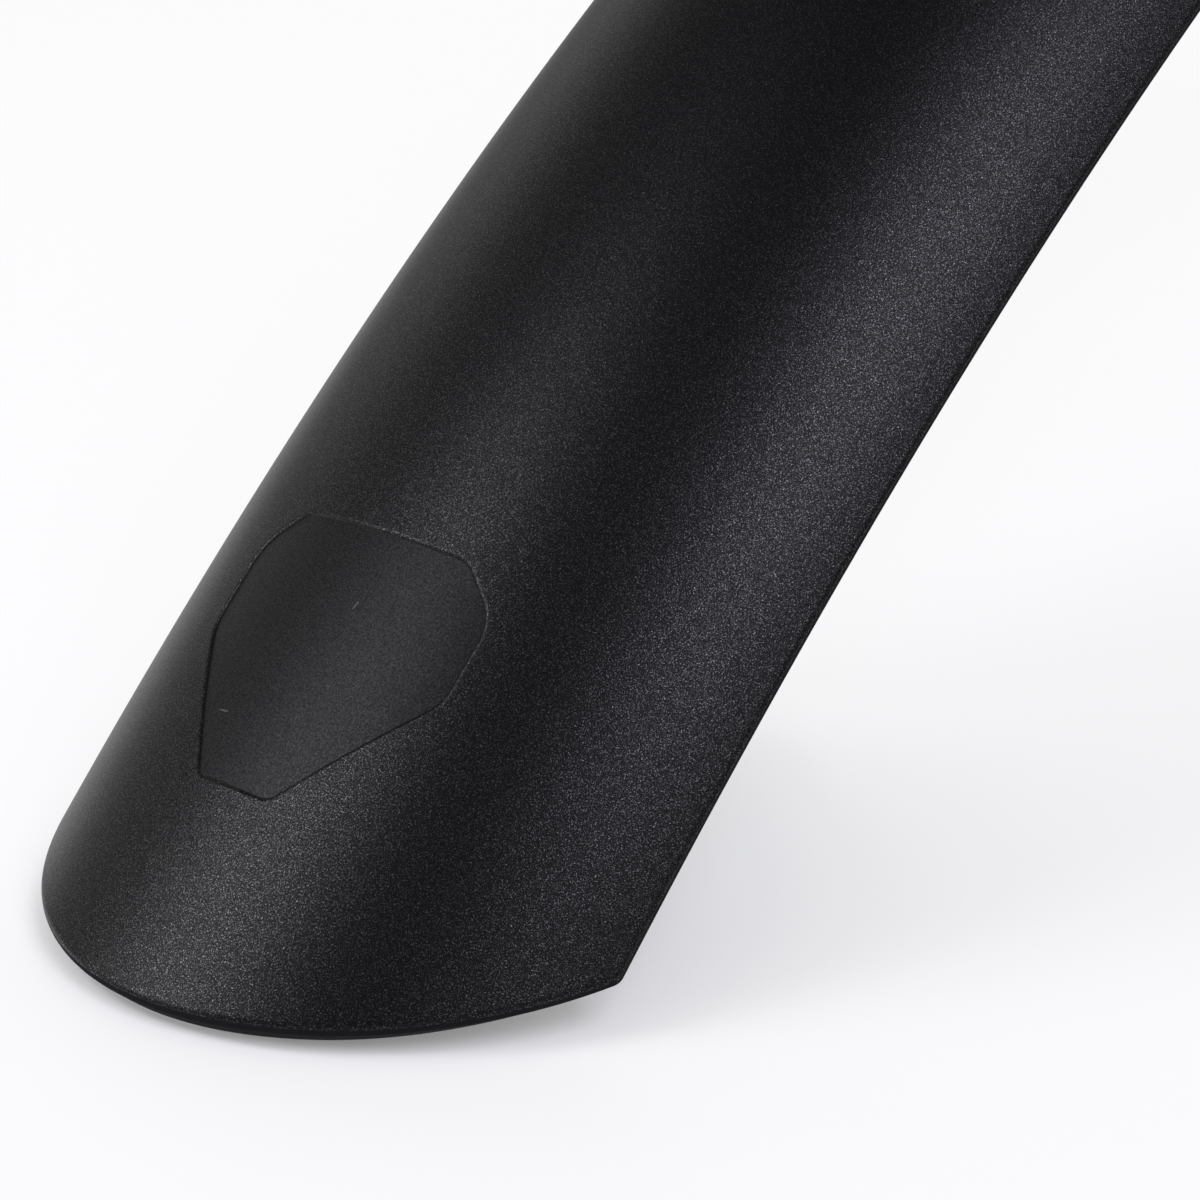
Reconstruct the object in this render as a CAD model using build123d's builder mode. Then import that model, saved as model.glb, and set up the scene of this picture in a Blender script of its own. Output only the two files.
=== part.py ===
"""Bicycle mudguard blade: one moulded shell that arches over a wheel.

The outside is a shallow round section turned about the wheel's axle line, which lies along Y.
The tail, towards -X, ends in a rounded tongue with a shield-shaped recess above it.
The front, towards +X, is cut straight across. The blade stands on both ends, arch upwards.
Lengths are in millimetres, angles in degrees from the top of the arch.
"""
import os
from math import acos, cos, degrees, radians, sin, sqrt

from build123d import *

# Arch and section of the blade
crown_radius = 374.0
blade_width = 45.0
blade_depth = 11.3
wall = 2.0
outer_edge_round = 0.6

# Ends of the blade: the tongue is an arc at the tip that runs on into a tighter arc on each side
tail_angle = 49.3
tongue_setback = 12.55
tongue_tip_width = 22.8
tongue_tip_radius = 28.4
tail_corner_round = 1.0
front_angle = 48.23
front_corner_round = 5.0

# Shield recess: its foot's distance from the tip of the tail, then lengths along the crown and widths
recess_depth = 0.15
recess_end_round = 1.2
recess_side_round = 3.0
recess_foot_distance = 13.15
recess_taper_length = 8.95
recess_side_length = 5.55
recess_head_length = 2.5
recess_foot_width = 5.8
recess_width = 19.1
recess_head_width = 13.3

# Flat land at the top of the arch for a fork bracket held by two bolts
bolt_spacing = 28.0
bolt_hole_diameter = 5.5
land_width = 13.0
land_corner = 3.0
land_height = 0.7
land_seat_depth = 1.4
land_round = 0.4

# Section: an arc through both edges and the crown
half_width = blade_width / 2
section_radius = (half_width**2 + blade_depth**2) / (2 * blade_depth)
section_angle = degrees(acos(1 - blade_depth / section_radius))
section_centre = (0, crown_radius - section_radius)

# Tongue: how far behind the tip its first arc ends
tip_setback = tongue_tip_radius - sqrt(tongue_tip_radius**2 - (tongue_tip_width / 2) ** 2)

# Recess: where its taper, sides and head end, from the tip of the tail
recess_shoulder_distance = recess_foot_distance + recess_taper_length
recess_neck_distance = recess_shoulder_distance + recess_side_length
recess_head_distance = recess_neck_distance + recess_head_length

# The wheel's centre lies below the floor, which the tip of the tail and both front corners touch
tail_run = sin(radians(tail_angle))
tail_rise = cos(radians(tail_angle))
tail_tip_height = (crown_radius - wall) * tail_rise
inner_edge_radius = crown_radius - section_radius + (section_radius - wall) * cos(radians(section_angle))
front_run = sin(radians(front_angle))
front_rise = sin(radians(section_angle)) * cos(radians(front_angle))
front_corner_lift = front_corner_round * (front_run + front_rise - sqrt(front_run**2 + front_rise**2))
front_corner_height = inner_edge_radius * cos(radians(front_angle)) + front_corner_lift
wheel_offset = crown_radius * (tail_run - front_run) / 2
wheel_centre = Vector(wheel_offset, 0, -min(tail_tip_height, front_corner_height))
axle_direction = Vector(0, 1, 0)
wheel_axis = Axis(wheel_centre, axle_direction)


def outward(angle):
    """Direction away from the axle at an angle from the top of the arch, positive towards the tail."""
    return Vector(-sin(radians(angle)), 0, cos(radians(angle)))


def section_plane(angle):
    """Plane through the axle line: X across the blade, Y away from the axle."""
    return Plane(wheel_centre, x_dir=axle_direction, z_dir=axle_direction.cross(outward(angle)))


def crown_plane(angle, height=0):
    """Plane that lies on the crown, or at a height above it: X towards the tail, Z outwards."""
    origin = wheel_centre + outward(angle) * (crown_radius + height)
    return Plane(origin, x_dir=outward(angle + 90), z_dir=outward(angle))


def angle_before_tail(distance):
    """Angle of the place on the crown at a distance from the tip of the tail."""
    return tail_angle - degrees(distance / crown_radius)


recess_angle = angle_before_tail(recess_shoulder_distance)
past_tail_angle = angle_before_tail(-half_width)


def recess_corner(distance, width):
    """Corner of the recess on the crown's plane at its shoulder, straight over the curved surface."""
    drop = section_radius - sqrt(section_radius**2 - (width / 2) ** 2)
    turn = radians(angle_before_tail(distance) - recess_angle)
    return ((crown_radius - drop) * sin(turn), width / 2)


# Solid under the outer skin: it runs on past the tail, and the tongue is cut from it
with BuildPart() as blade_form:
    with BuildSketch(section_plane(past_tail_angle)):
        with BuildLine():
            crown_arc = CenterArc(section_centre, section_radius, 90 - section_angle, 2 * section_angle)
            Line(crown_arc @ 0, crown_arc @ 1)
        make_face()
    revolve(axis=wheel_axis, revolution_arc=past_tail_angle + front_angle)
    with BuildSketch(crown_plane(tail_angle)):
        with BuildLine():
            tip_left = (-tip_setback, tongue_tip_width / 2)
            tip_right = (-tip_setback, -tongue_tip_width / 2)
            tip_arc = ThreePointArc(tip_left, (0, 0), tip_right)
            right_arc = TangentArc(tip_right, (-tongue_setback, -half_width), tangent=tip_arc % 1)
            left_arc = TangentArc(tip_left, (-tongue_setback, half_width), tangent=-(tip_arc % 0))
            Polyline(
                right_arc @ 1,
                (-tongue_setback, -blade_width),
                (blade_width, -blade_width),
                (blade_width, blade_width),
                (-tongue_setback, blade_width),
                left_arc @ 1,
            )
        make_face()
    extrude(amount=2 * blade_depth, both=True, mode=Mode.SUBTRACT)

# What the recess takes away: the shield's prism down to a floor that follows the skin
with BuildPart() as recess_cut:
    with BuildSketch(crown_plane(recess_angle)) as shield:
        with BuildLine():
            shield_side = [
                recess_corner(recess_foot_distance, recess_foot_width),
                recess_corner(recess_shoulder_distance, recess_width),
                recess_corner(recess_neck_distance, recess_width),
                recess_corner(recess_head_distance, recess_head_width),
            ]
            mirrored_side = [(x, -y) for x, y in reversed(shield_side)]
            Polyline(*shield_side, *mirrored_side, close=True)
        make_face()
        fillet(shield.vertices().sort_by(Axis.Y)[2:6], recess_end_round)
        side_corners = shield.vertices().sort_by(Axis.Y)
        fillet(side_corners[:2] + side_corners[-2:], recess_side_round)
    extrude(amount=blade_depth, both=True)
    with BuildSketch(section_plane(past_tail_angle)):
        with Locations(section_centre):
            Circle(section_radius - recess_depth)
    revolve(axis=wheel_axis, revolution_arc=2 * (past_tail_angle - recess_angle), mode=Mode.SUBTRACT)

# Slab through the wall, flat on both sides
with BuildPart() as bolt_land:
    with BuildSketch(crown_plane(0, land_height)):
        land_outline = Rectangle(bolt_spacing + land_width, land_width)
        chamfer(land_outline.vertices(), land_corner)
    extrude(amount=-(land_height + wall + land_seat_depth))
    fillet(bolt_land.faces().sort_by(Axis.Z)[-1].edges(), land_round)

with BuildPart() as mudguard_blade:
    # Shell with its ends square to the skin
    thicken(blade_form.faces().filter_by(GeomType.TORUS)[0], amount=-wall)

    # Corners rounded in plan, then the outer edge all the way round
    side_edges = mudguard_blade.faces().filter_by(GeomType.CONE).edges()
    fillet(side_edges.sort_by(SortBy.LENGTH)[:4].sort_by(Axis.X)[:2], tail_corner_round)
    side_edges = mudguard_blade.faces().filter_by(GeomType.CONE).edges()
    fillet(side_edges.sort_by(SortBy.LENGTH)[:4].sort_by(Axis.X)[2:], front_corner_round)
    outer_skin = mudguard_blade.faces().sort_by(SortBy.AREA)[-1]
    fillet(outer_skin.edges(), outer_edge_round)

    # Land with its bolt holes, then the recess
    add(bolt_land.part)
    with Locations(crown_plane(0, land_height)):
        with GridLocations(bolt_spacing, 0, 2, 1):
            Hole(bolt_hole_diameter / 2)
    add(recess_cut.part, mode=Mode.SUBTRACT)

mudguard_blade.part.label = "mudguard_blade"
os.makedirs("parts", exist_ok=True)
export_step(mudguard_blade.part, "parts/mudguard_blade.step")
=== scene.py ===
"""Bicycle mudguard blade seen close at its tail: a black moulded shell with a shield-shaped recess.

The blade is one moulding, so it is one mesh. It is laid out flat as a sheet, along the crown and across
the section, and then bent over the arch, so that its edges, recess and bolt land keep their true sizes.
The blade's lengths are in millimetres until its mesh is made, and angles are in degrees from the top of
the arch. The room around it, with its floor and lamps, is in metres.
"""
import math

import bmesh
import bpy
import numpy as np
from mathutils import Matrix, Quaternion, Vector
from mathutils.geometry import delaunay_2d_cdt


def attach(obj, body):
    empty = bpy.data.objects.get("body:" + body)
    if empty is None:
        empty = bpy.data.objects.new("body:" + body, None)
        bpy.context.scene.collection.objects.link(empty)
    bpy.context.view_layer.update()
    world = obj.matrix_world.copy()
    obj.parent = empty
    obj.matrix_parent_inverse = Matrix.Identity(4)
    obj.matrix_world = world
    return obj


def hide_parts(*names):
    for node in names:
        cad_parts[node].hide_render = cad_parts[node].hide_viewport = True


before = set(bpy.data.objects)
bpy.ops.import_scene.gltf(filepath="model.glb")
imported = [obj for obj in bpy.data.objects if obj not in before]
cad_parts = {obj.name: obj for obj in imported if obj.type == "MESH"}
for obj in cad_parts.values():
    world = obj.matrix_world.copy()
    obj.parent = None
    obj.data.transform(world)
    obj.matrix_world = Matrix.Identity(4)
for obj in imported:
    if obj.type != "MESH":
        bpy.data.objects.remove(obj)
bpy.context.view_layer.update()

MM = 0.001

# Arch and section of the blade
CROWN_RADIUS = 374.0
BLADE_WIDTH = 45.0
BLADE_DEPTH = 11.3
WALL = 2.0
OUTER_EDGE_ROUND = 0.6
INNER_EDGE_ROUND = 0.15

# Ends of the blade
TAIL_ANGLE = 49.3
TONGUE_SETBACK = 12.55
TONGUE_TIP_WIDTH = 22.8
TONGUE_TIP_RADIUS = 28.4
TAIL_CORNER_ROUND = 1.0
FRONT_ANGLE = 48.23
FRONT_CORNER_ROUND = 5.0

# Shield recess: half widths at distances along the crown from the tip of the tail
RECESS_DEPTH = 0.15
RECESS_END_ROUND = 1.2
RECESS_SIDE_ROUND = 3.0
RECESS_LIP_ROUND = 0.35
RECESS_SIDE = ((13.15, 2.9), (22.1, 9.55), (27.65, 9.55), (30.15, 6.65))
RECESS_PLANE_DISTANCE = 22.1

# Flat land for the fork bracket's bolts
BOLT_SPACING = 28.0
BOLT_HOLE_RADIUS = 2.75
LAND_WIDTH = 13.0
LAND_CORNER = 3.0
LAND_HEIGHT = 0.7
LAND_SEAT_DEPTH = 1.4
LAND_ROUND = 0.4

# Finishes of the blade's faces, the rim's one holding painted shade, and the rings of the rim and of the
# recess's lip where they change
SPARK_GRAIN, SATIN_GRAIN, PARTING_EDGE_SHADE = range(3)
PARTING_SHADE_RING = 5
SATIN_RING = 6

# Length of the outer skin's faces: short near the tail, which is seen close, and longer towards the front
TAIL_FACE = 0.55
FACE_GROWTH = 0.002
CLOSE_LENGTH = 70
FAR_BLEND_LENGTH = 150
FAR_FACE_GAIN = 2.2

# Length of the other faces, and how many steps long the last face of a run may be
RECESS_EDGE_FACE = 0.4
RECESS_FLOOR_FACE = 0.5
LAND_EDGE_FACE = 1.0
LAND_TOP_FACE = 1.2
INNER_FACE = 2.0
LAST_FACE = 1.4

# Points on the rounds and arcs, and the turn between points at a corner in radians
OUTER_ROUND_POINTS = 11
INNER_ROUND_POINTS = 5
LIP_POINTS = 8
LAND_ROUND_POINTS = 6
TONGUE_TIP_POINTS = 24
TONGUE_SIDE_POINTS = 28
BOLT_HOLE_POINTS = 48
CORNER_TURN = 0.12

# Flat margins beside the rounds, how close points weld, and the angle from which an edge is sharp
RIM_MARGIN = 0.08
LIP_MARGIN = 0.06
WELD_DISTANCE = 1e-7
SHARP_ANGLE = 30

# Lint fibres that lie in the recess, and a painted glint on the tail's grain drawn as a short grey stroke:
# the ends of each mark and its thickness
RECESS_LINT = (
    ((-264.09, -1.309, 19.672), (-263.643, -1.43, 20.117), 0.08),
    ((-269.481, 4.323, 13.635), (-269.542, 3.482, 13.743), 0.1),
)
# On the tail's skin: a painted glint, a grey dot standing in for a highlight
TAIL_PAINTED_GLINT = (((-265.992, -21.589, 3.208), (-265.894, -21.645, 3.214), 0.11),)

# Colours
PLASTIC_BLACK = "#0c0c0d"
LINT_AND_GLINT_GREY = "#525254"
PARTING_EDGE_BLACK = "#1f1f21"
FLOOR_WHITE = "#f7f7f7"

# Studio floor: its half side in metres, the share of it that glows white, and its contact shadow in mm
FLOOR_REACH = 20.0
FLOOR_GLOW = (0.75, 0.75, 0.75, 1.0)
FLOOR_SHADOW = 40.0

# Light of the room at heights from its horizon, 0, to straight above, 1
ROOM_LEVELS = ((0.0, 0.15), (0.25, 0.42), (0.8, 0.008))

# What the lamps face, in metres
LIT_PLACE = Vector((-0.26, 0, 0.02))

# Camera: its place from the wheel's centre, and the way back to it from what it sees
CAMERA_PLACE = (-377.86, -123.85, 321.52)
CAMERA_AZIMUTH = -47.184
CAMERA_ELEVATION = 19.57
CAMERA_LENS = 92.34
CAMERA_SENSOR = 36
CAMERA_CLIP = 0.01

HALF_WIDTH = BLADE_WIDTH / 2
SECTION_RADIUS = (HALF_WIDTH**2 + BLADE_DEPTH**2) / (2 * BLADE_DEPTH)
SECTION_ANGLE = math.acos(1 - BLADE_DEPTH / SECTION_RADIUS)
RING_RADIUS = CROWN_RADIUS - SECTION_RADIUS
TAIL_ALONG = CROWN_RADIUS * math.radians(TAIL_ANGLE)
FRONT_ALONG = -CROWN_RADIUS * math.radians(FRONT_ANGLE)
EDGE_ACROSS = SECTION_RADIUS * SECTION_ANGLE
WHEEL_X = CROWN_RADIUS * (math.sin(math.radians(TAIL_ANGLE)) - math.sin(math.radians(FRONT_ANGLE))) / 2
WHEEL_Z = -(CROWN_RADIUS - WALL) * math.cos(math.radians(TAIL_ANGLE))


def bend(flat, depth=0.0):
    """Points of the flat sheet (along, across) bent over the arch, at a depth below the outer skin."""
    turn = flat[:, 0] / CROWN_RADIUS
    tilt = flat[:, 1] / SECTION_RADIUS
    radius = RING_RADIUS + (SECTION_RADIUS - depth) * np.cos(tilt)
    y = (SECTION_RADIUS - depth) * np.sin(tilt)
    return np.column_stack((WHEEL_X - radius * np.sin(turn), y, WHEEL_Z + radius * np.cos(turn)))


def unroll(plan, angle, depth=0.0):
    """Points drawn on the crown's tangent plane at an angle, dropped straight on to the sheet."""
    tilt = np.arcsin(plan[:, 1] / (SECTION_RADIUS - depth))
    radius = RING_RADIUS + (SECTION_RADIUS - depth) * np.cos(tilt)
    turn = math.radians(angle) + np.arcsin(plan[:, 0] / radius)
    return np.column_stack((turn * CROWN_RADIUS, tilt * SECTION_RADIUS))


def arc(centre, radius, start, end, count):
    """Points on an arc, angles in radians."""
    angles = np.linspace(start, end, count)
    return np.column_stack((centre[0] + radius * np.cos(angles), centre[1] + radius * np.sin(angles)))


def quarter(count):
    """Angles of a quarter turn, in radians."""
    return np.linspace(0, math.pi / 2, count)


def round_corners(loop, radii):
    """A closed loop with an arc in place of each corner that radii names by its index."""
    rounded = []
    for i, corner in enumerate(loop):
        if i not in radii:
            rounded.append(corner[None])
            continue
        before = loop[i - 1] - corner
        after = loop[(i + 1) % len(loop)] - corner
        before = before / np.linalg.norm(before)
        after = after / np.linalg.norm(after)
        half = math.acos(np.clip(before @ after, -1, 1)) / 2
        middle = (before + after) / np.linalg.norm(before + after)
        centre = corner + middle * radii[i] / math.sin(half)
        reach = radii[i] / math.tan(half)
        spokes = [corner + side * reach - centre for side in (before, after)]
        start, end = (math.atan2(s[1], s[0]) for s in spokes)
        sweep = (end - start + math.pi) % (2 * math.pi) - math.pi
        steps = 3 + int(abs(sweep) / CORNER_TURN)
        rounded.append(arc(centre, radii[i], start, start + sweep, steps))
    return np.concatenate(rounded)


def divide(loop, step):
    """A closed loop with its long runs cut into pieces about as long as step gives at each place."""
    pieces = []
    for start, end in zip(loop, np.roll(loop, -1, axis=0)):
        length = np.linalg.norm(end - start)
        places = [0.0]
        while length - places[-1] > LAST_FACE * step(start + (end - start) * places[-1] / length):
            places.append(places[-1] + step(start + (end - start) * places[-1] / length))
        pieces.append(start + np.outer(np.array(places) / length, end - start))
    return np.concatenate(pieces)


def inset(loop, distance):
    """A closed counter-clockwise loop moved inwards by a distance."""
    edge = np.roll(loop, -1, axis=0) - loop
    edge = edge / np.linalg.norm(edge, axis=1)[:, None]
    normal = np.column_stack((-edge[:, 1], edge[:, 0]))
    before = np.roll(normal, 1, axis=0)
    corner = (normal + before) / (1 + np.sum(normal * before, axis=1))[:, None]
    return loop + corner * distance


def inside(points, loop):
    """Which points lie inside a closed loop."""
    found = np.zeros(len(points), bool)
    for (x0, y0), (x1, y1) in zip(loop, np.roll(loop, -1, axis=0)):
        crosses = (y0 > points[:, 1]) != (y1 > points[:, 1])
        if y0 != y1:
            found ^= crosses & (points[:, 0] < x0 + (points[:, 1] - y0) * (x1 - x0) / (y1 - y0))
    return found


def near(points, loop, distance):
    """Which points lie within a distance of a closed loop's own points."""
    found = np.zeros(len(points), bool)
    for place in loop:
        found |= np.sum((points - place) ** 2, axis=1) < distance**2
    return found


def lattice_in(loops, step, rows, clearance):
    """Points in rows along the blade, inside the first loop, outside the others and clear of them all."""
    outer = loops[0]
    along = [outer[:, 0].max()]
    while along[-1] > outer[:, 0].min():
        along.append(along[-1] - step((along[-1], 0)))
    across = np.linspace(outer[:, 1].min(), outer[:, 1].max(), rows)[1:-1]
    points = np.array([(a, c) for a in along for c in across])
    kept = inside(points, outer) & ~near(points, outer, clearance)
    for hole in loops[1:]:
        kept &= ~inside(points, hole) & ~near(points, hole, clearance)
    return points[kept]


class Moulding:
    """The blade's points, faces and the finish of each face, as they are added."""

    def __init__(self):
        self.points = []
        self.faces = []
        self.finishes = []

    def ring(self, points):
        """New points, by their numbers."""
        start = len(self.points)
        self.points.extend(points)
        return list(range(start, len(self.points)))

    def band(self, first, second, finish=SPARK_GRAIN):
        """Quads between two closed rings of as many points."""
        for i in range(len(first)):
            j = (i + 1) % len(first)
            self.faces.append((first[i], first[j], second[j], second[i]))
            self.finishes.append(finish)

    def rings(self, rings, finish=SPARK_GRAIN):
        """Bands from each ring to the next."""
        for first, second in zip(rings, rings[1:]):
            self.band(first, second, finish)

    def sheet(self, loops, rings, lattice, place, finish=SPARK_GRAIN):
        """Faces that fill the first loop, apart from the others, through a lattice of points."""
        flat = np.concatenate([*loops, lattice])
        index = [i for ring in rings for i in ring] + self.ring(place(lattice))
        edges = []
        start = 0
        for loop in loops:
            edges += [(start + i, start + (i + 1) % len(loop)) for i in range(len(loop))]
            start += len(loop)
        outer = list(range(len(loops[0])))
        corners = [Vector(p) for p in flat.tolist()]
        made = delaunay_2d_cdt(corners, edges, [outer], 1, WELD_DISTANCE)
        origin = [sources[0] for sources in made[3]]
        triangles = np.array([[origin[v] for v in face] for face in made[2]])
        kept = np.ones(len(triangles), bool)
        middles = flat[triangles].mean(axis=1)
        for hole in loops[1:]:
            kept &= ~inside(middles, hole)
        for triangle in triangles[kept]:
            self.faces.append(tuple(index[v] for v in triangle))
            self.finishes.append(finish)


def tail_step(place):
    """Length of a face of the outer skin at a place along the blade."""
    before_tail = max(0.0, TAIL_ALONG - place[0])
    far = min(1.0, max(0.0, (before_tail - CLOSE_LENGTH) / FAR_BLEND_LENGTH))
    return TAIL_FACE + FAR_FACE_GAIN * far + FACE_GROWTH * before_tail


def tongue_outline():
    """The tail's outline on the crown's plane at the tip, from one side to the other."""
    tip_turn = math.asin(TONGUE_TIP_WIDTH / 2 / TONGUE_TIP_RADIUS)
    tip = arc((-TONGUE_TIP_RADIUS, 0), TONGUE_TIP_RADIUS, 0, tip_turn, TONGUE_TIP_POINTS)
    start = tip[-1]
    chord = np.array((-TONGUE_SETBACK, HALF_WIDTH)) - start
    towards = np.array((-math.cos(tip_turn), -math.sin(tip_turn)))
    radius = chord @ chord / (2 * towards @ chord)
    centre = start + radius * towards
    end_turn = math.atan2(HALF_WIDTH - centre[1], -TONGUE_SETBACK - centre[0])
    half = np.concatenate((tip, arc(centre, radius, tip_turn, end_turn, TONGUE_SIDE_POINTS)[1:]))
    return np.concatenate((half[::-1] * (1, -1), half[1:]))


def blade_outline():
    """The whole blade's outline on the flat sheet, counter-clockwise."""
    tail = unroll(tongue_outline(), TAIL_ANGLE)
    tail[0, 1], tail[-1, 1] = -EDGE_ACROSS, EDGE_ACROSS
    from_corners = np.linalg.norm(tail[:, None] - tail[None, [0, -1]], axis=2).min(axis=1)
    kept = from_corners > TAIL_CORNER_ROUND
    kept[[0, -1]] = True
    tail = tail[kept]
    front = np.array(((FRONT_ALONG, EDGE_ACROSS), (FRONT_ALONG, -EDGE_ACROSS)))
    count = len(tail)
    radii = {i: TAIL_CORNER_ROUND for i in (0, count - 1)}
    radii.update({i: FRONT_CORNER_ROUND for i in (count, count + 1)})
    return divide(round_corners(np.concatenate((tail, front)), radii), tail_step)


def recess_outline():
    """The recess's outline on the flat sheet, counter-clockwise."""
    plane_angle = TAIL_ANGLE - math.degrees(RECESS_PLANE_DISTANCE / CROWN_RADIUS)
    side = []
    for distance, half_width in RECESS_SIDE:
        drop = SECTION_RADIUS - math.sqrt(SECTION_RADIUS**2 - half_width**2)
        turn = (RECESS_PLANE_DISTANCE - distance) / CROWN_RADIUS
        side.append(((CROWN_RADIUS - drop) * math.sin(turn), half_width))
    corners = np.array([(x, -y) for x, y in side[::-1]] + side)
    radii = {i: RECESS_END_ROUND for i in (0, 3, 4, 7)}
    radii.update({i: RECESS_SIDE_ROUND for i in (1, 2, 5, 6)})
    plan = round_corners(corners, radii)
    return unroll(divide(plan, lambda place: RECESS_EDGE_FACE), plane_angle)


def land_outline():
    """The land's outline on the crown's plane, counter-clockwise."""
    x, y = (BOLT_SPACING + LAND_WIDTH) / 2, LAND_WIDTH / 2
    corners = np.array((
        (x - LAND_CORNER, -y), (x, LAND_CORNER - y), (x, y - LAND_CORNER), (x - LAND_CORNER, y),
        (LAND_CORNER - x, y), (-x, y - LAND_CORNER), (-x, LAND_CORNER - y), (LAND_CORNER - x, -y)))
    return divide(corners, lambda place: LAND_EDGE_FACE)


def on_land(plan, height):
    """Points on a plane over the crown."""
    level = np.full(len(plan), WHEEL_Z + CROWN_RADIUS + height)
    return np.column_stack((WHEEL_X - plan[:, 0], plan[:, 1], level))


def add_rim(moulding):
    """The edge from the outer skin round to the inner skin; gives the loop and ring where it meets each."""
    rim = [(OUTER_EDGE_ROUND + RIM_MARGIN, 0.0)]
    for a in quarter(OUTER_ROUND_POINTS):
        rim.append((OUTER_EDGE_ROUND * (1 - math.sin(a)), OUTER_EDGE_ROUND * (1 - math.cos(a))))
    for a in quarter(INNER_ROUND_POINTS):
        rim.append((INNER_EDGE_ROUND * (1 - math.cos(a)), WALL - INNER_EDGE_ROUND * (1 - math.sin(a))))
    rim.append((INNER_EDGE_ROUND + RIM_MARGIN, WALL))
    outline = blade_outline()
    loops = [inset(outline, distance) for distance, depth in rim]
    rings = [moulding.ring(bend(loop, depth)) for loop, (distance, depth) in zip(loops, rim)]
    moulding.rings(rings[:PARTING_SHADE_RING + 1])
    # From this ring round to the inner skin the rim takes the finish with painted shade
    moulding.rings(rings[PARTING_SHADE_RING:], PARTING_EDGE_SHADE)
    return (loops[0], rings[0]), (loops[-1], rings[-1])


def add_recess(moulding):
    """The recess: the skin rolls over a soft lip to its floor; gives the loop and ring round the lip."""
    lip_turn = math.acos(1 - RECESS_DEPTH / RECESS_LIP_ROUND)
    lip_width = RECESS_LIP_ROUND * math.sin(lip_turn)
    lip = [(-lip_width - LIP_MARGIN, 0.0)]
    for a in np.linspace(0, lip_turn, LIP_POINTS):
        lip.append((RECESS_LIP_ROUND * math.sin(a) - lip_width, RECESS_LIP_ROUND * (1 - math.cos(a))))
    lip.append((LIP_MARGIN, RECESS_DEPTH))
    outline = recess_outline()
    loops = [inset(outline, distance) for distance, depth in lip]
    rings = [moulding.ring(bend(loop, depth)) for loop, (distance, depth) in zip(loops, lip)]
    moulding.rings(rings[:SATIN_RING + 1])
    moulding.rings(rings[SATIN_RING:], SATIN_GRAIN)
    lattice = lattice_in(loops[-1:], lambda place: RECESS_FLOOR_FACE, rows=40, clearance=0.3)
    moulding.sheet(loops[-1:], rings[-1:], lattice, lambda flat: bend(flat, RECESS_DEPTH), SATIN_GRAIN)
    return loops[0], rings[0]


def add_land(moulding):
    """The land, the seat under it and the bolt holes; gives the loop and ring at the foot of each."""
    land = land_outline()
    land_foot = unroll(land, 0)
    land_rings = [moulding.ring(bend(land_foot))]
    for a in quarter(LAND_ROUND_POINTS):
        level = LAND_HEIGHT - LAND_ROUND * (1 - math.sin(a))
        land_rings.append(moulding.ring(on_land(inset(land, LAND_ROUND * (1 - math.cos(a))), level)))
    moulding.rings(land_rings)
    seat_level = -WALL - LAND_SEAT_DEPTH
    seat_foot = unroll(land, 0, WALL)
    seat_rings = [moulding.ring(bend(seat_foot, WALL)), moulding.ring(on_land(land, seat_level))]
    moulding.rings(seat_rings)
    holes = []
    for x in (-BOLT_SPACING / 2, BOLT_SPACING / 2):
        holes.append(arc((x, 0), BOLT_HOLE_RADIUS, 0, 2 * math.pi, BOLT_HOLE_POINTS + 1)[:-1])
    top_holes = [moulding.ring(on_land(hole, LAND_HEIGHT)) for hole in holes]
    seat_holes = [moulding.ring(on_land(hole, seat_level)) for hole in holes]
    for top_hole, seat_hole in zip(top_holes, seat_holes):
        moulding.band(top_hole, seat_hole)
    for loop, ring, hole_rings, level in (
        (inset(land, LAND_ROUND), land_rings[-1], top_holes, LAND_HEIGHT),
        (land, seat_rings[-1], seat_holes, seat_level),
    ):
        lattice = lattice_in([loop] + holes, lambda place: LAND_TOP_FACE, rows=11, clearance=0.6)
        moulding.sheet([loop] + holes, [ring] + hole_rings, lattice, lambda plan, z=level: on_land(plan, z))
    return (land_foot, land_rings[0]), (seat_foot, seat_rings[0])


def blade_mesh():
    """The rim, recess and land, then the outer skin between them and the inner skin round the seat."""
    moulding = Moulding()
    outer_rim, inner_rim = add_rim(moulding)
    recess_lip = add_recess(moulding)
    land_foot, seat_foot = add_land(moulding)
    loops, rings = zip(outer_rim, recess_lip, land_foot)
    moulding.sheet(loops, rings, lattice_in(loops, tail_step, rows=62, clearance=0.4), bend)
    loops, rings = zip(inner_rim, seat_foot)
    lattice = lattice_in(loops, lambda place: INNER_FACE, rows=30, clearance=0.5)
    moulding.sheet(loops, rings, lattice, lambda flat: bend(flat, WALL))
    return moulding


def blade_object(moulding, finishes):
    """The blade as one object, its triangles joined to quads and its hard edges kept sharp."""
    mesh = bpy.data.meshes.new("mudguard_blade_moulding")
    mesh.from_pydata((np.array(moulding.points) * MM).tolist(), [], moulding.faces)
    for material in finishes:
        mesh.materials.append(material)
    mesh.polygons.foreach_set("material_index", moulding.finishes)
    shape = bmesh.new()
    shape.from_mesh(mesh)
    triangles = [face for face in shape.faces if len(face.verts) == 3]
    bmesh.ops.join_triangles(
        shape, faces=triangles, cmp_materials=True, angle_face_threshold=0.2, angle_shape_threshold=0.6)
    bmesh.ops.recalc_face_normals(shape, faces=shape.faces)
    shape.to_mesh(mesh)
    shape.free()
    mesh.polygons.foreach_set("use_smooth", [True] * len(mesh.polygons))
    mesh.set_sharp_from_angle(angle=math.radians(SHARP_ANGLE))
    blade = bpy.data.objects.new("mudguard_blade_moulding", mesh)
    bpy.context.scene.collection.objects.link(blade)
    return blade


def linear(code):
    """Linear colour of an sRGB hex code."""
    parts = [int(code[i:i + 2], 16) / 255 for i in (1, 3, 5)]
    return [p / 12.92 if p <= 0.04045 else ((p + 0.055) / 1.055) ** 2.4 for p in parts] + [1.0]


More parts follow.
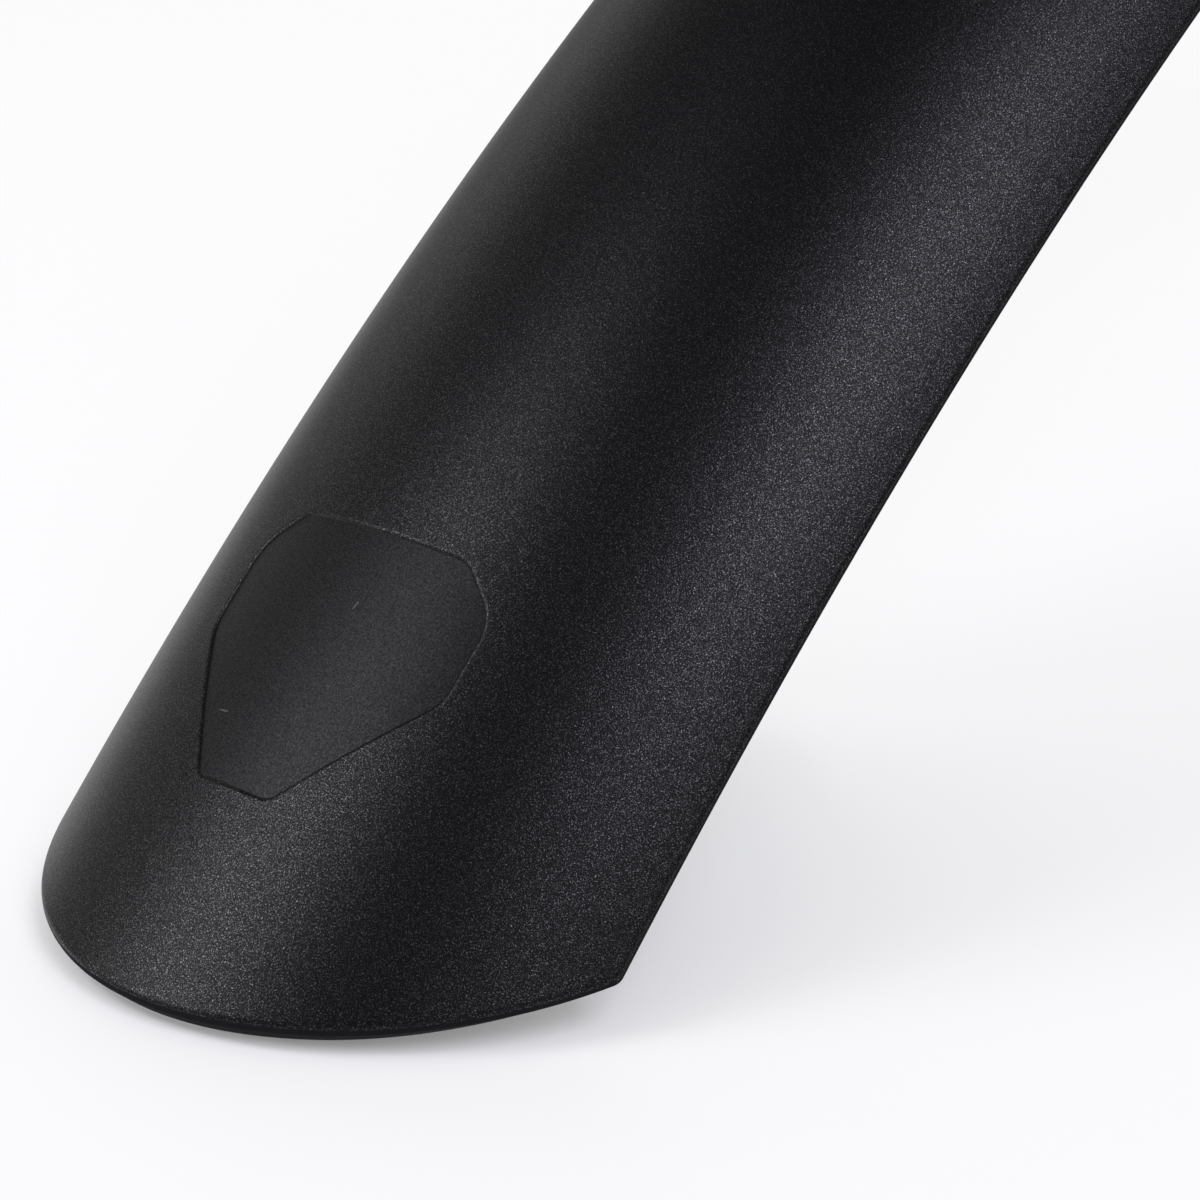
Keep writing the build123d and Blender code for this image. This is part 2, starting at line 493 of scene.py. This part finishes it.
def add_node(tree, kind, settings, links):
    """A shader node with its settings: properties by name, input values by name or number, links by input."""
    node = tree.nodes.new(kind)
    for name, value in settings.items():
        if isinstance(name, str) and hasattr(node, name):
            setattr(node, name, value)
        else:
            node.inputs[name].default_value = value
    for name, source in links.items():
        tree.links.new(source, node.inputs[name])
    return node


def new_tree(name):
    """A material and its empty node tree."""
    material = bpy.data.materials.new(name)
    material.use_nodes = True
    material.node_tree.nodes.clear()
    return material, material.node_tree


def lint_and_glint_cover(tree, place, lint_and_glint_marks):
    """Where lint fibres and painted glints lie on the plastic: 1 on them and 0 elsewhere."""
    cover = None
    for start, end, thickness in lint_and_glint_marks:
        along = (Vector(end) - Vector(start)) * MM
        near_mark = add_node(
            tree, "ShaderNodeMapping",
            {"vector_type": "TEXTURE", "Location": (Vector(start) + Vector(end)) / 2 * MM,
             "Rotation": along.to_track_quat("X", "Z").to_euler(),
             "Scale": (along.length / 2, thickness / 2 * MM, thickness / 2 * MM)},
            {"Vector": place})
        reach = add_node(tree, "ShaderNodeVectorMath", {"operation": "LENGTH"}, {0: near_mark.outputs[0]})
        touch = add_node(
            tree, "ShaderNodeMath", {"operation": "LESS_THAN", 1: 1.0}, {0: reach.outputs["Value"]})
        if cover:
            touch = add_node(
                tree, "ShaderNodeMath", {"operation": "MAXIMUM"}, {0: cover, 1: touch.outputs[0]})
        cover = touch.outputs[0]
    return cover


def moulded_plastic(name, grain_mm, grain_height_mm, sharpness, roughness, dull, shine, lint_and_glint):
    """Black ABS from a spark-eroded mould: the crests of its fine grain sparkle and its pits stay dull.

    The gloss goes from dull in the pits to shine more on the crests, and sharpness makes the crests rarer.
    The base colour turns grey on the lint and painted glints it is given.
    """
    material, tree = new_tree(name)
    place = add_node(tree, "ShaderNodeTexCoord", {}, {})
    grain = add_node(
        tree, "ShaderNodeTexNoise",
        {"Scale": 1 / (grain_mm * MM), "Detail": 0.0},
        {"Vector": place.outputs["Object"]})
    crest = add_node(tree, "ShaderNodeMath", {"operation": "POWER", 1: sharpness}, {0: grain.outputs["Fac"]})
    gloss = add_node(
        tree, "ShaderNodeMath", {"operation": "MULTIPLY_ADD", 1: shine, 2: dull}, {0: crest.outputs[0]})
    bump = add_node(
        tree, "ShaderNodeBump", {"Strength": 1.0, "Distance": grain_height_mm * MM},
        {"Height": grain.outputs["Fac"]})
    # Base colour: black, turned grey on lint and on painted glints
    colour = add_node(
        tree, "ShaderNodeMix", {"data_type": "RGBA", 6: linear(PLASTIC_BLACK), 7: linear(LINT_AND_GLINT_GREY)},
        {0: lint_and_glint_cover(tree, place.outputs["Object"], lint_and_glint)})
    plastic = add_node(
        tree, "ShaderNodeBsdfPrincipled", {"Roughness": roughness},
        {"Base Color": colour.outputs[2], "Specular IOR Level": gloss.outputs[0],
         "Normal": bump.outputs["Normal"]})
    add_node(tree, "ShaderNodeOutputMaterial", {}, {"Surface": plastic.outputs["BSDF"]})
    return material


def parted_edge_painted_shade():
    """Black ABS where the mould's halves meet: dull and plain, with its reflection almost taken out as
    painted shade, so that the rim stays a quiet dark band.
    """
    material, tree = new_tree("black_abs_parting_edge_painted_shade")
    # Specular level near zero is painted shade: the rim mirrors almost nothing around it
    plastic = add_node(
        tree, "ShaderNodeBsdfPrincipled",
        {"Base Color": linear(PARTING_EDGE_BLACK), "Roughness": 0.5, "Specular IOR Level": 0.006}, {})
    add_node(tree, "ShaderNodeOutputMaterial", {}, {"Surface": plastic.outputs["BSDF"]})
    return material


def add_floor():
    """Matt white floor that the blade stands on: it is seen as white, with the blade's shadow left on it."""
    material, tree = new_tree("matt_white_studio_floor")
    paint = add_node(
        tree, "ShaderNodeBsdfPrincipled",
        {"Base Color": linear(FLOOR_WHITE), "Roughness": 0.9, "Specular IOR Level": 0.0}, {})
    glow = add_node(tree, "ShaderNodeEmission", {"Strength": 1.0}, {})
    rays = add_node(tree, "ShaderNodeLightPath", {}, {})
    seen = rays.outputs["Is Camera Ray"]
    for kind in ("Is Glossy Ray", "Is Transmission Ray"):
        either = add_node(
            tree, "ShaderNodeMath", {"operation": "MAXIMUM"}, {0: seen, 1: rays.outputs[kind]})
        seen = either.outputs[0]
    open_floor = add_node(
        tree, "ShaderNodeAmbientOcclusion",
        {"samples": 8, "Color": FLOOR_GLOW, "Distance": FLOOR_SHADOW * MM}, {})
    share = add_node(
        tree, "ShaderNodeMath", {"operation": "MULTIPLY"}, {0: seen, 1: open_floor.outputs["Color"]})
    mixed = add_node(
        tree, "ShaderNodeMixShader", {},
        {0: share.outputs[0], 1: paint.outputs["BSDF"], 2: glow.outputs[0]})
    add_node(tree, "ShaderNodeOutputMaterial", {}, {"Surface": mixed.outputs[0]})
    mesh = bpy.data.meshes.new("studio_floor")
    corners = [(x * FLOOR_REACH, y * FLOOR_REACH, 0) for x, y in ((-1, -1), (1, -1), (1, 1), (-1, 1))]
    mesh.from_pydata(corners, [], [(0, 1, 2, 3)])
    mesh.materials.append(material)
    floor = bpy.data.objects.new("studio_floor", mesh)
    bpy.context.scene.collection.objects.link(floor)


def add_world():
    """Dim room with a paler band above its horizon, which the blade's far side reflects."""
    world = bpy.data.worlds.new("studio_room")
    world.use_nodes = True
    tree = world.node_tree
    tree.nodes.clear()
    place = add_node(tree, "ShaderNodeTexCoord", {}, {})
    axes = add_node(tree, "ShaderNodeSeparateXYZ", {}, {"Vector": place.outputs["Generated"]})
    band = add_node(tree, "ShaderNodeValToRGB", {}, {"Fac": axes.outputs["Z"]})
    band.color_ramp.interpolation = "EASE"
    band.color_ramp.elements.new(0.5)
    for stop, (height, level) in zip(band.color_ramp.elements, ROOM_LEVELS):
        stop.position = height
        stop.color = (level, level, level, 1.0)
    light = add_node(tree, "ShaderNodeBackground", {}, {"Color": band.outputs["Color"]})
    add_node(tree, "ShaderNodeOutputWorld", {}, {"Surface": light.outputs[0]})
    bpy.context.scene.world = world


def direction(azimuth, elevation):
    """Unit vector towards a place around the blade: azimuth 0 is -Y, 90 is +X."""
    a, e = math.radians(azimuth), math.radians(elevation)
    return Vector((math.sin(a) * math.cos(e), -math.cos(a) * math.cos(e), math.sin(e)))


def add_softbox(name, azimuth, elevation, distance, size, roll, radiance, colour):
    """Area lamp that faces the tail, turned by its roll, as bright as its radiance over its whole face."""
    light = bpy.data.lights.new(name, "AREA")
    light.shape = "RECTANGLE"
    light.size, light.size_y = size
    light.energy = radiance * math.pi * size[0] * size[1]
    light.color = colour
    lamp = bpy.data.objects.new(name, light)
    towards = direction(azimuth, elevation)
    lamp.location = LIT_PLACE + towards * distance
    lamp.rotation_mode = "QUATERNION"
    lamp.rotation_quaternion = towards.to_track_quat("Z", "Y") @ Quaternion((0, 0, 1), math.radians(roll))
    bpy.context.scene.collection.objects.link(lamp)


def add_camera():
    """Close view of the tail from above its left side."""
    data = bpy.data.cameras.new("camera")
    data.lens = CAMERA_LENS
    data.sensor_width = CAMERA_SENSOR
    data.clip_start = CAMERA_CLIP
    camera = bpy.data.objects.new("camera", data)
    camera.location = (Vector((WHEEL_X, 0, WHEEL_Z)) + Vector(CAMERA_PLACE)) * MM
    camera.rotation_mode = "QUATERNION"
    camera.rotation_quaternion = direction(CAMERA_AZIMUTH, CAMERA_ELEVATION).to_track_quat("Z", "Y")
    bpy.context.scene.collection.objects.link(camera)
    bpy.context.scene.camera = camera


# The skin's coarser grain sparkles under the lamps and carries one painted glint in grey, and the recess's
# finer grain is an even satin with lint on it
spark_grain = moulded_plastic(
    "black_abs_spark_eroded_grain", grain_mm=0.076, grain_height_mm=0.008, sharpness=6.0,
    roughness=0.38, dull=0.082, shine=4.2, lint_and_glint=TAIL_PAINTED_GLINT)
satin_grain = moulded_plastic(
    "black_abs_fine_satin_grain", grain_mm=0.1, grain_height_mm=0.003, sharpness=2.0,
    roughness=0.41, dull=0.076, shine=0.41, lint_and_glint=RECESS_LINT)
blade = blade_object(blade_mesh(), [spark_grain, satin_grain, parted_edge_painted_shade()])
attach(blade, "root")
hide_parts("mudguard_blade")

add_floor()
add_world()
add_softbox(
    "right_softbox", azimuth=-7.5, elevation=48.5, distance=0.9, size=(0.41, 0.56), roll=-40,
    radiance=5.4, colour=(0.95, 0.95, 1.12))
add_softbox(
    "left_softbox", azimuth=-126.5, elevation=36.5, distance=0.9, size=(0.8, 0.45), roll=75,
    radiance=4.65, colour=(1.0, 0.99, 1.04))
add_softbox(
    "rear_softbox", azimuth=165, elevation=20, distance=0.9, size=(0.58, 0.38), roll=0,
    radiance=0.24, colour=(1.0, 1.0, 1.0))
add_softbox(
    "front_softbox", azimuth=110, elevation=36, distance=1.2, size=(1.0, 0.5), roll=0,
    radiance=4.35, colour=(1.0, 1.0, 1.0))
add_camera()
bpy.context.scene.view_settings.view_transform = "Standard"
